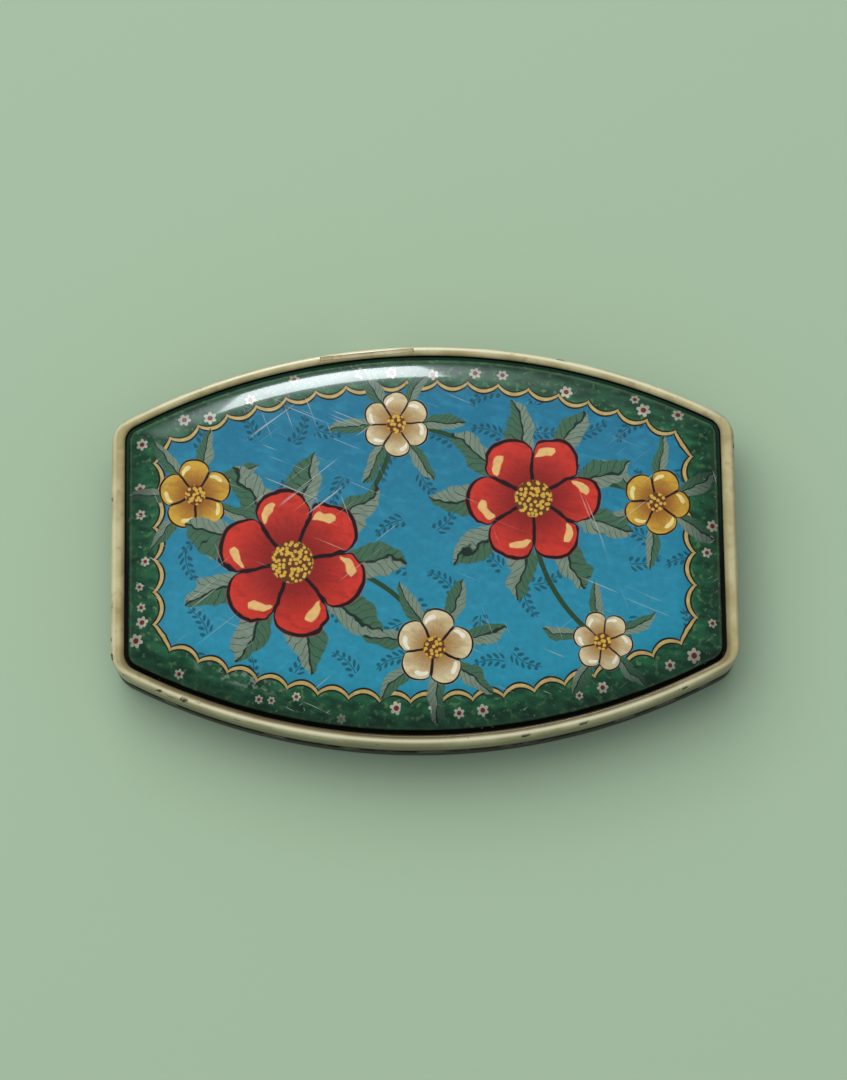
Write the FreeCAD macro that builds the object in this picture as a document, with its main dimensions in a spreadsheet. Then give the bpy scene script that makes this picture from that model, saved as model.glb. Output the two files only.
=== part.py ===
import FreeCAD, Part
import math
import os
import Sketcher

# Hinged sweet tin with a bowed front and rear, a domed lid and a stepped tray.
# Origin: centre of the flat bottom. +Z up, +X to the right, -Y to the front.
# The driving dimensions are in millimetres.
SIZES = {
    # Plan of the closed tin, measured over the lid's skirt.
    "width": 143.0,
    "depth": 93.0,
    "bow_radius": 148.0,
    "corner_radius": 6.5,
    "sheet": 0.3,
    # Lid: heights of the rim and of the hem's lower edge, then the rim's own section. The rim is
    # wider at the two ends than at the front and rear.
    "rim_height": 18.5,
    "hem_bottom": 8.3,
    "hem_height": 2.2,
    "hem_fold_gap": 0.05,
    "rim_width": 2.3,
    "rim_end_extra": 0.8,
    "rim_round": 1.2,
    "rim_inner_round": 0.8,
    "rim_overlap": 0.05,
    "groove_width": 0.8,
    "groove_depth": 1.0,
    "shoulder_width": 13.0,
    "shoulder_rise": 4.6,
    "crown_rise": 1.3,
    # Tray: step under the lid, neck inside the lid and rolled top edge.
    "step_height": 6.0,
    "step_round": 0.6,
    "foot_round": 1.4,
    "floor_overlap": 2.0,
    "neck_inset": 1.5,
    "neck_lean": 0.3,
    "curl_diameter": 1.6,
    "seat_gap": 0.3,
    # Hinge: one straight set of knuckles on the rear wall, left of the centre.
    "hinge_offset": 12.8,
    "hinge_width": 21.5,
    "wire_diameter": 1.0,
    "wire_clearance": 0.05,
    "base_knuckle_width": 9.5,
    "knuckle_gap": 0.25,
    "strap_gap": 0.03,
    "strap_end_inset": 1.05,
    "strap_end_width": 0.75,
    "strap_end_drop": 0.15,
    "strap_ledge_drop": 1.1,
    "base_strap_height": 4.0,
    "slot_clearance": 0.1,
    "overrun": 2.0,
}
# Sections of the dome: the shoulder's at shares of a quarter ellipse's turn, from the foot up,
# then the crown's at shares of the last shoulder outline, on a parabola.
SHOULDER_TURN_SHARES = (0.0, 0.22, 0.44, 0.66, 0.87)
CROWN_SHARES = (1.0, 0.6, 0.2)


class Length:
    """A size with the sheet formula that drives it and its present value."""

    def __init__(self, formula, value):
        self.formula = formula
        self.value = value

    def joined(self, sign, other, value):
        other_formula = other.formula if isinstance(other, Length) else str(other)
        return Length(f"({self.formula} {sign} {other_formula})", value)

    def __add__(self, other):
        return self.joined("+", other, self.value + number(other))

    def __sub__(self, other):
        return self.joined("-", other, self.value - number(other))

    def __mul__(self, other):
        return self.joined("*", other, self.value * number(other))

    def __truediv__(self, other):
        return self.joined("/", other, self.value / number(other))

    def __neg__(self):
        return Length(f"(-1 * {self.formula})", -self.value)


def number(term):
    return term.value if isinstance(term, Length) else term


def root(square):
    return Length(f"sqrt({square.formula})", math.sqrt(square.value))


def arc_sine(ratio):
    return Length(f"asin({ratio.formula})", math.degrees(math.asin(ratio.value)))


def tie(target, path, length):
    target.setExpression(path, length.formula)


doc = FreeCAD.newDocument("candy_tin")
sheet = doc.addObject("Spreadsheet::Sheet", "sizes")
for row, (name, value) in enumerate(SIZES.items(), start=1):
    sheet.set(f"A{row}", name)
    sheet.set(f"B{row}", str(value))
    sheet.setAlias(f"B{row}", name)
doc.recompute()
size = {name: Length(f"sizes.{name}", float(sheet.get(name))) for name in SIZES}


class Outline:
    """Plan outline: bowed front and rear, straight sides and round corners."""

    def __init__(self, width, depth, bow, corner):
        self.width = width
        self.depth = depth
        self.bow = bow
        self.corner = corner

    def scaled(self, share):
        return Outline(self.width * share, self.depth * share, self.bow * share, self.corner * share)


def inset_outline(inset, corner=None):
    """The lid's outline moved inwards by an inset."""
    if corner is None:
        corner = size["corner_radius"] - inset
    return Outline(size["width"] - inset * 2, size["depth"] - inset * 2, size["bow_radius"] - inset, corner)


def panel_outline(inset, corner=None):
    """The same, drawn in at both ends by the rim's extra width there."""
    outline = inset_outline(inset, corner)
    outline.width = outline.width - size["rim_end_extra"] * 2
    return outline


def new_sketch(body, name, plane_role):
    sketch = body.newObject("Sketcher::SketchObject", name)
    plane = next(feature for feature in body.Origin.OriginFeatures if feature.Role == plane_role)
    sketch.AttachmentSupport = [(plane, "")]
    sketch.MapMode = "FlatFace"
    return sketch


def constrain(sketch, length, *terms):
    index = sketch.addConstraint(Sketcher.Constraint(*terms, length.value))
    tie(sketch, f"Constraints[{index}]", length)


def outline_sketch(body, name, outline, height):
    """Draws an outline at a height, starting and ending at the middle of the front."""
    sketch = new_sketch(body, name, "XY_Plane")
    tie(sketch, "AttachmentOffset.Base.z", height)
    half_width = outline.width / 2
    centre_drop = outline.bow - outline.depth / 2
    reach = outline.bow.value - outline.corner.value
    corner_x = half_width.value - outline.corner.value
    corner_y = math.sqrt(reach ** 2 - corner_x ** 2) - centre_drop.value
    turn = math.acos(corner_x / reach)
    up = FreeCAD.Vector(0, 0, 1)

    def arc(x, y, radius, first, last):
        circle = Part.Circle(FreeCAD.Vector(x, y, 0), up, radius.value)
        sketch.addGeometry(Part.ArcOfCircle(circle, first, last))

    def side(x, first, last):
        sketch.addGeometry(Part.LineSegment(FreeCAD.Vector(x, first, 0), FreeCAD.Vector(x, last, 0)))

    arc(0, centre_drop.value, outline.bow, -math.pi / 2, -turn)
    arc(corner_x, -corner_y, outline.corner, -turn, 0)
    side(half_width.value, -corner_y, corner_y)
    arc(corner_x, corner_y, outline.corner, 0, turn)
    arc(0, -centre_drop.value, outline.bow, turn, math.pi - turn)
    arc(-corner_x, corner_y, outline.corner, math.pi - turn, math.pi)
    side(-half_width.value, corner_y, -corner_y)
    arc(-corner_x, -corner_y, outline.corner, math.pi, math.pi + turn)
    arc(0, centre_drop.value, outline.bow, math.pi + turn, math.pi * 3 / 2)
    front, right, rear_corner, rear, left, last = 0, 2, 3, 4, 6, 8
    start, end, centre, origin, upright = 1, 2, 3, -1, -2
    for edge in range(last):
        sketch.addConstraint(Sketcher.Constraint("Tangent", edge, end, edge + 1, start))
    sketch.addConstraint(Sketcher.Constraint("Coincident", last, end, front, start))
    sketch.addConstraint(Sketcher.Constraint("Coincident", last, centre, front, centre))
    sketch.addConstraint(Sketcher.Constraint("PointOnObject", front, start, upright))
    for bow in (front, rear):
        sketch.addConstraint(Sketcher.Constraint("PointOnObject", bow, centre, upright))
        constrain(sketch, outline.bow, "Radius", bow)
    for corner in (1, 5, 7):
        sketch.addConstraint(Sketcher.Constraint("Equal", corner, rear_corner))
    for line in (right, left):
        sketch.addConstraint(Sketcher.Constraint("Vertical", line))
    constrain(sketch, outline.corner, "Radius", rear_corner)
    constrain(sketch, centre_drop, "DistanceY", origin, start, front, centre)
    constrain(sketch, centre_drop, "DistanceY", rear, centre, origin, start)
    constrain(sketch, half_width, "DistanceX", origin, start, right, start)
    constrain(sketch, half_width, "DistanceX", left, start, origin, start)
    return sketch


def section_sketch(body, name, steps):
    """Draws a sheet's section at the middle of the front.

    A step is (inset, height) for a straight run to that point, or (inset, height, radius, side)
    for an arc to it. Side is 1 where the arc's centre lies left of the way, and -1 where right.
    """
    sketch = new_sketch(body, name, "YZ_Plane")
    half_depth = size["depth"] / 2
    places = [FreeCAD.Vector(step[0].value - half_depth.value, step[1].value, 0) for step in steps]
    ends = []
    for index, step in enumerate(steps):
        first, last = places[index - 1], places[index]
        if len(step) == 2:
            sketch.addGeometry(Part.LineSegment(first, last))
            ends.append((1, 2))
            continue
        radius, side = step[2].value, step[3]
        chord = last - first
        rise = math.sqrt(radius ** 2 - (chord.Length / 2) ** 2)
        left = FreeCAD.Vector(-chord.y, chord.x, 0).normalize()
        centre = (first + last) / 2 + left * (rise * side)
        angles = [math.atan2(place.y - centre.y, place.x - centre.x) for place in (first, last)][::side]
        if angles[1] < angles[0]:
            angles[1] += 2 * math.pi
        circle = Part.Circle(centre, FreeCAD.Vector(0, 0, 1), radius)
        sketch.addGeometry(Part.ArcOfCircle(circle, *angles))
        ends.append((1, 2)[::side])
    origin = (-1, 1)
    for index, step in enumerate(steps):
        following = (index + 1) % len(steps)
        corner = (index, ends[index][1])
        sketch.addConstraint(Sketcher.Constraint("Coincident", *corner, following, ends[following][0]))
        constrain(sketch, half_depth - step[0], "DistanceX", *corner, *origin)
        constrain(sketch, step[1], "DistanceY", *origin, *corner)
        if len(step) == 4:
            constrain(sketch, step[2], "Radius", index)
    return sketch


def swept_ring(body, name, section, path):
    ring = body.newObject("PartDesign::AdditivePipe", name)
    ring.Profile = section
    ring.Spine = (path, [f"Edge{edge + 1}" for edge in range(path.GeometryCount)])


def lofted(body, kind, name, sections):
    loft = body.newObject(f"PartDesign::{kind}Loft", name)
    loft.Profile = sections[0]
    loft.Sections = sections[1:]


# Heights and insets that more than one piece uses.
zero = Length("0", 0.0)
skin = size["sheet"]
groove_floor = size["rim_height"] - size["groove_depth"]
dome_inset = size["rim_width"] + size["groove_width"]
neck_top = groove_floor - skin - size["seat_gap"]

# The hinge's own frame: X along the straight knuckles, Y out of the rear wall, Z up from the bottom.
bow_centre = size["bow_radius"] - size["depth"] / 2
hinge_x = -size["hinge_offset"]
hinge_reach = size["bow_radius"] * size["bow_radius"] - size["hinge_offset"] * size["hinge_offset"]
hinge_y = root(hinge_reach) - bow_centre
hinge_turn = arc_sine(size["hinge_offset"] / size["bow_radius"])
wall_bulge = size["hinge_width"] * size["hinge_width"] / (size["bow_radius"] * 8)
bore_radius = size["wire_diameter"] / 2 + size["wire_clearance"]
knuckle_radius = bore_radius + skin
strap_face = skin + wall_bulge + size["strap_gap"]
axis_inset = strap_face - bore_radius
axis_height = (size["step_height"] + size["hem_bottom"]) / 2


def hinge_box(name, length, inset, thickness, bottom, height):
    """A block centred along the hinge, from an inset inwards and from a height upwards."""
    box = doc.addObject("Part::Box", name)
    tie(box, "Length", length)
    tie(box, "Width", thickness)
    tie(box, "Height", height)
    tie(box, "Placement.Base.x", -length / 2)
    tie(box, "Placement.Base.y", -inset - thickness)
    tie(box, "Placement.Base.z", bottom)
    return box


def hinge_round(name, radius, length):
    """A cylinder centred on the hinge axis."""
    cylinder = doc.addObject("Part::Cylinder", name)
    cylinder.Placement.Rotation = FreeCAD.Rotation(FreeCAD.Vector(0, 1, 0), 90)
    tie(cylinder, "Radius", radius)
    tie(cylinder, "Height", length)
    tie(cylinder, "Placement.Base.x", -length / 2)
    tie(cylinder, "Placement.Base.y", -axis_inset)
    tie(cylinder, "Placement.Base.z", axis_height)
    return cylinder


def fused(name, shapes):
    fuse = doc.addObject("Part::MultiFuse", name)
    fuse.Shapes = shapes
    return fuse


def cut(name, base, tool):
    result = doc.addObject("Part::Cut", name)
    result.Base = base
    result.Tool = tool
    return result


def place_at_hinge(item):
    item.Placement.Rotation = FreeCAD.Rotation(FreeCAD.Vector(0, 0, 1), hinge_turn.value)
    tie(item, "Placement.Rotation.Angle", hinge_turn)
    tie(item, "Placement.Base.x", hinge_x)
    tie(item, "Placement.Base.y", hinge_y)
    return item


def skirt_section(body):
    """Skirt and outer side of the rim as one bent sheet, with the hem folded up inside the skirt."""
    hem_inset = skin * 2 + size["hem_fold_gap"]
    hem_round = hem_inset / 2
    hem_side = size["hem_bottom"] + hem_round
    hem_top = size["hem_bottom"] + size["hem_height"]
    rim, rim_round = size["rim_height"], size["rim_round"]
    top_end = rim_round + size["rim_overlap"]
    return section_sketch(body, "skirt_section", [
        (zero, hem_side, hem_round, -1),
        (zero, rim - rim_round),
        (rim_round, rim, rim_round, -1),
        (top_end, rim),
        (top_end, rim - skin),
        (rim_round, rim - skin),
        (skin, rim - rim_round, rim_round - skin, 1),
        (skin, hem_top),
        (hem_inset, hem_top),
        (hem_inset, hem_side),
        (hem_round, size["hem_bottom"], hem_round, -1),
    ])


def groove_section(body):
    """Inner side of the rim and the groove's floor."""
    rim, inner_round, wall = size["rim_height"], size["rim_inner_round"], size["rim_width"]
    top_end = wall - inner_round - size["rim_overlap"]
    floor_end = dome_inset + skin * 2
    return section_sketch(body, "groove_section", [
        (top_end, rim),
        (wall - inner_round, rim),
        (wall, rim - inner_round, inner_round, -1),
        (wall, groove_floor),
        (floor_end, groove_floor),
        (floor_end, groove_floor - skin),
        (wall - skin, groove_floor - skin),
        (wall - skin, rim - inner_round),
        (wall - inner_round, rim - skin, inner_round - skin, 1),
        (top_end, rim - skin),
    ])


def add_rim(body):
    """The rim: its two bent sides, and the flat ring between their outlines."""
    rim = size["rim_height"]
    swept_ring(body, "skirt", skirt_section(body), outline_sketch(body, "skirt_path", inset_outline(zero), zero))
    outer = outline_sketch(body, "rim_outer", inset_outline(size["rim_round"]), rim - skin)
    top = body.newObject("PartDesign::Pad", "rim_top")
    top.Profile = outer
    tie(top, "Length", skin)
    inner = outline_sketch(body, "rim_inner", panel_outline(size["rim_width"] - size["rim_inner_round"]), rim)
    opening = body.newObject("PartDesign::Pocket", "rim_opening")
    opening.Profile = inner
    tie(opening, "Length", skin)
    path = outline_sketch(body, "groove_path", panel_outline(zero, size["corner_radius"]), zero)
    swept_ring(body, "groove", groove_section(body), path)


def add_dome(body, kind, name, offset):
    """The dome's shoulder and its shallow crown, moved in and down by an offset."""
    shoulder, crown = [], []
    for share in SHOULDER_TURN_SHARES:
        turn = share * math.pi / 2
        run_share = 1 - math.cos(turn)
        inset = dome_inset + size["shoulder_width"] * run_share + offset
        height = groove_floor + size["shoulder_rise"] * math.sin(turn) - offset
        outline = panel_outline(inset, size["corner_radius"] - dome_inset * (1 - run_share))
        shoulder.append(outline_sketch(body, f"{name}_shoulder_{len(shoulder)}", outline, height))
    for share in CROWN_SHARES:
        crown_height = height + size["crown_rise"] * (1 - share ** 2)
        crown.append(outline_sketch(body, f"{name}_crown_{len(crown)}", outline.scaled(share), crown_height))
    lofted(body, kind, f"{name}_shoulder", shoulder)
    lofted(body, kind, f"{name}_crown", crown)


def make_lid():
    """The lid's pressing, then the slot and the hem notch that the hinge strap goes through."""
    body = doc.addObject("PartDesign::Body", "lid_pressing")
    add_rim(body)
    add_dome(body, "Additive", "dome", zero)
    add_dome(body, "Subtractive", "hollow", skin)
    clearance, overrun = size["slot_clearance"], size["overrun"]
    length = size["hinge_width"] + clearance * 2
    edge = strap_face - size["strap_gap"]
    slot = hinge_box("rim_slot", length, size["strap_end_inset"] - clearance, size["strap_end_width"] + clearance * 2,
                     size["rim_height"] - size["rim_round"], size["rim_round"] + overrun)
    notch = hinge_box("hem_notch", length, edge, size["strap_gap"] + skin + clearance,
                      size["hem_bottom"] - overrun, size["hem_height"] + overrun + clearance)
    return cut("lid", body, place_at_hinge(fused("strap_openings", [slot, notch])))


def make_tray():
    """Flat bottom, low wall, step, leaning neck and rolled edge, pressed from one sheet."""
    body = doc.addObject("PartDesign::Body", "base_tray")
    path = outline_sketch(body, "tray_path", inset_outline(zero), zero)
    step, step_round, foot = size["step_height"], size["step_round"], size["foot_round"]
    floor_end = foot + size["floor_overlap"]
    neck = size["neck_inset"]
    curl = size["curl_diameter"] / 2
    curl_side = neck + size["neck_lean"]
    curl_height = neck_top - curl
    section = section_sketch(body, "tray_section", [
        (foot, zero),
        (zero, foot, foot, -1),
        (zero, step - step_round),
        (step_round, step, step_round, -1),
        (neck, step),
        (curl_side, curl_height),
        (curl_side + curl, neck_top, curl, -1),
        (curl_side + curl * 2, curl_height, curl, -1),
        (curl_side + curl, curl_height - curl, curl, -1),
        (curl_side + skin, curl_height - curl),
        (neck + skin, step - skin),
        (skin, step - skin),
        (skin, foot),
        (foot, skin, foot - skin, 1),
        (floor_end, skin),
        (floor_end, zero),
    ])
    swept_ring(body, "tray_wall", section, path)
    panel = body.newObject("PartDesign::Pad", "tray_floor")
    panel.Profile = outline_sketch(body, "floor_outline", inset_outline(foot + size["floor_overlap"] / 2), zero)
    tie(panel, "Length", skin)
    return body


def make_lid_strap():
    """A flat strip inside the skirt: a ledge and an upturned end in the rim's slot, rolled at its foot."""
    width = size["hinge_width"]
    ledge_top = size["rim_height"] - size["strap_ledge_drop"]
    ledge_depth = size["strap_end_inset"] + size["strap_end_width"] - strap_face
    end_height = size["strap_ledge_drop"] - size["strap_end_drop"] + skin
    plate = hinge_box("lid_strap_plate", width, strap_face, skin, axis_height, ledge_top - axis_height)
    ledge = hinge_box("lid_strap_ledge", width, strap_face, ledge_depth, ledge_top - skin, skin)
    end = hinge_box("lid_strap_end", width, size["strap_end_inset"], size["strap_end_width"],
                    ledge_top - skin, end_height)
    roll = hinge_round("lid_strap_roll", knuckle_radius, width)
    middle = size["base_knuckle_width"] + size["knuckle_gap"] * 2
    clear_bottom = axis_height - knuckle_radius - size["overrun"]
    clear_top = axis_height + knuckle_radius + size["knuckle_gap"]
    gap = hinge_box("lid_strap_gap", middle, -size["overrun"], size["overrun"] * 2 + strap_face,
                    clear_bottom, clear_top - clear_bottom)
    bore = hinge_round("lid_strap_bore", bore_radius, width + size["overrun"])
    strip = fused("lid_strap_strip", [plate, ledge, end, roll])
    openings = fused("lid_strap_openings", [gap, bore])
    return place_at_hinge(cut("lid_hinge_strap", strip, openings))


def make_base_strap():
    """A short strip on the outside of the rear wall, rolled into the middle knuckle."""
    width = size["base_knuckle_width"]
    height = size["base_strap_height"]
    plate = hinge_box("base_strap_plate", width, -size["strap_gap"] - skin, skin,
                      axis_height - bore_radius - height, height)
    roll = hinge_round("base_strap_roll", knuckle_radius, width)
    bore = hinge_round("base_strap_bore", bore_radius, width + size["overrun"])
    strip = fused("base_strap_strip", [plate, roll])
    return place_at_hinge(cut("base_hinge_strap", strip, bore))


def make_wire():
    """A straight wire through the knuckles, as long as the hinge."""
    body = doc.addObject("PartDesign::Body", "hinge_wire")
    sketch = new_sketch(body, "wire_section", "YZ_Plane")
    radius = size["wire_diameter"] / 2
    centre = FreeCAD.Vector(-axis_inset.value, axis_height.value, 0)
    sketch.addGeometry(Part.Circle(centre, FreeCAD.Vector(0, 0, 1), radius.value))
    constrain(sketch, radius, "Radius", 0)
    constrain(sketch, axis_inset, "DistanceX", 0, 3, -1, 1)
    constrain(sketch, axis_height, "DistanceY", -1, 1, 0, 3)
    rod = body.newObject("PartDesign::Pad", "wire_rod")
    rod.Profile = sketch
    rod.SideType = "Symmetric"
    tie(rod, "Length", size["hinge_width"])
    return place_at_hinge(body)


pieces = [make_lid(), make_tray(), make_lid_strap(), make_base_strap(), make_wire()]
doc.recompute()
for item in doc.Objects:
    if "Invalid" in item.State or "Error" in item.State:
        raise RuntimeError(f"{item.Label} failed: {item.State}")
for piece in pieces:
    if piece.Shape.isNull() or not piece.Shape.isValid() or len(piece.Shape.Solids) != 1:
        raise RuntimeError(f"{piece.Label} has no valid single solid")
os.makedirs("parts", exist_ok=True)
for piece in pieces:
    piece.Shape.exportStep(f"parts/{piece.Label}.step")
    print(f"{piece.Label}: {piece.Shape.Volume:.1f} mm3")
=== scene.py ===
import math
import bmesh
import bpy
from mathutils import Matrix, Vector


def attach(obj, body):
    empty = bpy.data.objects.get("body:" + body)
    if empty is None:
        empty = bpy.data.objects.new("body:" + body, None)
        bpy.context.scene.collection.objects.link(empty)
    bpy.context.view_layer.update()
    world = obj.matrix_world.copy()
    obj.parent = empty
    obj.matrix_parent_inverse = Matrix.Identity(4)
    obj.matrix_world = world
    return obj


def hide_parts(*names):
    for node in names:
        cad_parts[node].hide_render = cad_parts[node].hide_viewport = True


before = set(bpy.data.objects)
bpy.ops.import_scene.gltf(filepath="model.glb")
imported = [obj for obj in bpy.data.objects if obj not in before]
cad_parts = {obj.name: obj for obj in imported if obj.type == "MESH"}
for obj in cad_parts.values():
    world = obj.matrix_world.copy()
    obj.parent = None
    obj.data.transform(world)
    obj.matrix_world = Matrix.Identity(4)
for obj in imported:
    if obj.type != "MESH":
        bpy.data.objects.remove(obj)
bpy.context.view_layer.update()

MM = 0.001
# Points that lie closer together than this are one.
MERGE = 0.002 * MM

# Plan of the tin, in millimetres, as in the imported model.
WIDTH, DEPTH, BOW, CORNER = 143.0, 93.0, 148.0, 6.5
BOW_CENTRE = BOW - DEPTH / 2
BOW_STEPS, CORNER_STEPS, SIDE_STEPS = 60, 10, 4
# Lid: the rim, its rounds and its extra width at both ends, and the hem folded up inside the skirt.
RIM_HEIGHT, RIM_WIDTH, RIM_ROUND, RIM_INNER_ROUND, END_EXTRA = 18.5, 2.3, 1.2, 0.8, 0.8
HEM_BOTTOM, HEM_TOP, HEM_INSET, SHEET = 8.3, 10.5, 0.65, 0.3
# Panel: the dome's foot, its shoulder's width and rise, its crown's rise, and the rings drawn on them.
DOME_INSET, GROOVE_FLOOR = 3.1, 17.5
SHOULDER_WIDTH, SHOULDER_RISE, SHOULDER_TURN, CROWN_RISE = 13.0, 4.6, 0.87 * math.pi / 2, 1.3
SHOULDER_STEPS, CROWN_SHARES = 14, (0.92, 0.8, 0.66, 0.5, 0.34, 0.18, 0.05)
# Hinge: the middle of the straight knuckles on the rear wall, and their turn about the upright.
HINGE_OFFSET, HINGE_LENGTH = 12.8, 21.7
HINGE_TURN = math.asin(HINGE_OFFSET / BOW)
HINGE_PLACE = (-HINGE_OFFSET, math.sqrt(BOW ** 2 - HINGE_OFFSET ** 2) - BOW_CENTRE)


def new_piece(name):
    """An empty mesh object in edit mode."""
    bpy.ops.object.select_all(action="DESELECT")
    bpy.ops.mesh.primitive_circle_add(vertices=3, radius=MM)
    piece = bpy.context.object
    piece.name = piece.data.name = name
    bpy.ops.object.mode_set(mode="EDIT")
    bpy.ops.mesh.delete(type="VERT")
    return piece


def select_by(piece, kind, test):
    """Selects in edit mode the vertices, edges or faces that pass a test."""
    bpy.context.tool_settings.mesh_select_mode = [kind == name for name in ("verts", "edges", "faces")]
    bpy.ops.mesh.select_all(action="DESELECT")
    mesh = bmesh.from_edit_mesh(piece.data)
    for item in getattr(mesh, kind):
        item.select_set(test(item))
    mesh.select_flush_mode()
    bmesh.update_edit_mesh(piece.data)


def new_point(x, y, z):
    """Adds one vertex, from a small triangle that is merged at its centre."""
    bpy.context.tool_settings.mesh_select_mode = (True, False, False)
    bpy.ops.mesh.select_all(action="DESELECT")
    bpy.ops.mesh.primitive_circle_add(vertices=3, radius=MM, location=(x * MM, y * MM, z * MM))
    bpy.ops.mesh.merge(type="CENTER")


def sweep_round(inset, corner, share=1.0, end_inset=0.0):
    """Draws what is selected, at the middle of the front, once round an outline of the tin."""
    half_width, bow = WIDTH / 2 - inset - end_inset, BOW - inset
    reach, corner_x = bow - corner, half_width - corner
    corner_y = math.sqrt(reach ** 2 - corner_x ** 2) - BOW_CENTRE
    turn = math.acos(corner_x / reach)
    quarter = math.pi / 2 - turn

    def spin(angle, steps, x, y):
        centre = (x * share * MM, y * share * MM, 0)
        bpy.ops.mesh.spin(steps=steps, angle=-angle, center=centre, axis=(0, 0, 1))

    def side(way):
        step = way * 2 * corner_y * share / SIDE_STEPS * MM
        for _ in range(SIDE_STEPS):
            bpy.ops.mesh.extrude_region_move(TRANSFORM_OT_translate={"value": (0, step, 0)})

    spin(quarter, BOW_STEPS, 0, BOW_CENTRE)
    spin(turn, CORNER_STEPS, corner_x, -corner_y)
    side(1)
    spin(turn, CORNER_STEPS, corner_x, corner_y)
    spin(2 * quarter, 2 * BOW_STEPS, 0, -BOW_CENTRE)
    spin(turn, CORNER_STEPS, -corner_x, corner_y)
    side(-1)
    spin(turn, CORNER_STEPS, -corner_x, -corner_y)
    spin(quarter, BOW_STEPS, 0, BOW_CENTRE)


def rounded(inset, height, radius, first, last, steps):
    """Points of an arc in the section: angles in degrees, 0 towards the middle and 90 up."""
    points = []
    for step in range(steps + 1):
        angle = math.radians(first + (last - first) * step / steps)
        points.append((inset + radius * math.cos(angle), height + radius * math.sin(angle)))
    return points


def draw_section(points):
    """Draws a section at the middle of the front, point by point, and leaves it selected."""
    inset, height = points[0]
    new_point(0, inset - DEPTH / 2, height)
    for (inset, height), (next_inset, next_height) in zip(points, points[1:]):
        step = (0, (next_inset - inset) * MM, (next_height - height) * MM)
        bpy.ops.mesh.extrude_region_move(TRANSFORM_OT_translate={"value": step})
    bpy.ops.mesh.select_all(action="SELECT")


def draw_outline(inset, corner, height, share):
    """Draws one closed outline of the lid's panel."""
    new_point(0, (inset - DEPTH / 2) * share, height)
    sweep_round(inset, corner, share, END_EXTRA)


def dome_rings(offset):
    """Outlines of the dome from its foot to its middle, for a sheet face that is offset inwards."""
    rings = []
    for step in range(SHOULDER_STEPS + 1):
        turn = SHOULDER_TURN * step / SHOULDER_STEPS
        run_share = 1 - math.cos(turn)
        inset = DOME_INSET + SHOULDER_WIDTH * run_share + offset
        corner = CORNER - (DOME_INSET + offset) * (1 - run_share)
        rings.append((inset, corner, GROOVE_FLOOR + SHOULDER_RISE * math.sin(turn) - offset, 1.0))
    for share in CROWN_SHARES:
        height = rings[SHOULDER_STEPS][2] + CROWN_RISE * (1 - share ** 2)
        rings.append((inset, corner, height, share))
    return rings


def select_open(piece, height):
    """Selects the open edge loops at a height."""
    select_by(piece, "edges", lambda edge: len(edge.link_faces) == 1
              and all(abs(vert.co.z - height * MM) < 2 * MERGE for vert in edge.verts))


def painted(piece, material):
    """Leaves edit mode and gives the piece its one material."""
    bpy.ops.object.mode_set(mode="OBJECT")
    piece.data.materials.append(material)
    return piece


def dome_face(material, offset):
    """One face of the domed panel: its outlines bridged from the foot up, and closed in the middle."""
    dome = new_piece("dome_face")
    rings = dome_rings(offset)
    for inset, corner, height, share in rings:
        draw_outline(inset, corner, height, share)
    bpy.ops.mesh.select_all(action="SELECT")
    bpy.ops.mesh.remove_doubles(threshold=MERGE)
    bpy.ops.mesh.bridge_edge_loops()
    select_open(dome, rings[-1][2])
    bpy.ops.mesh.edge_face_add()
    return painted(dome, material)


def swept_face(material, points, end_inset=0.0, floor_height=None):
    """A section swept once round the tin, closed by a flat floor where one is given."""
    face = new_piece("swept_face")
    draw_section(points)
    sweep_round(0, CORNER, end_inset=end_inset)
    if floor_height is not None:
        bpy.ops.mesh.select_all(action="SELECT")
        bpy.ops.mesh.remove_doubles(threshold=MERGE)
        select_open(face, floor_height)
        bpy.ops.mesh.edge_face_add()
    return painted(face, material)


def joined(name, faces, flat_heights=()):
    """Joins faces into one sheet, with flat rings at some heights, and turns its normals out."""
    bpy.ops.object.select_all(action="DESELECT")
    for face in faces:
        face.select_set(True)
    bpy.context.view_layer.objects.active = faces[0]
    bpy.ops.object.join()
    piece = faces[0]
    piece.name = piece.data.name = name
    bpy.ops.object.mode_set(mode="EDIT")
    bpy.ops.mesh.select_all(action="SELECT")
    bpy.ops.mesh.remove_doubles(threshold=MERGE)
    for height in flat_heights:
        select_open(piece, height)
        bpy.ops.mesh.bridge_edge_loops()
    bpy.ops.mesh.select_all(action="SELECT")
    bpy.ops.mesh.normals_make_consistent(inside=False)
    bpy.ops.object.mode_set(mode="OBJECT")
    bpy.ops.object.shade_smooth_by_angle(angle=math.radians(40))
    return piece


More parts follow.
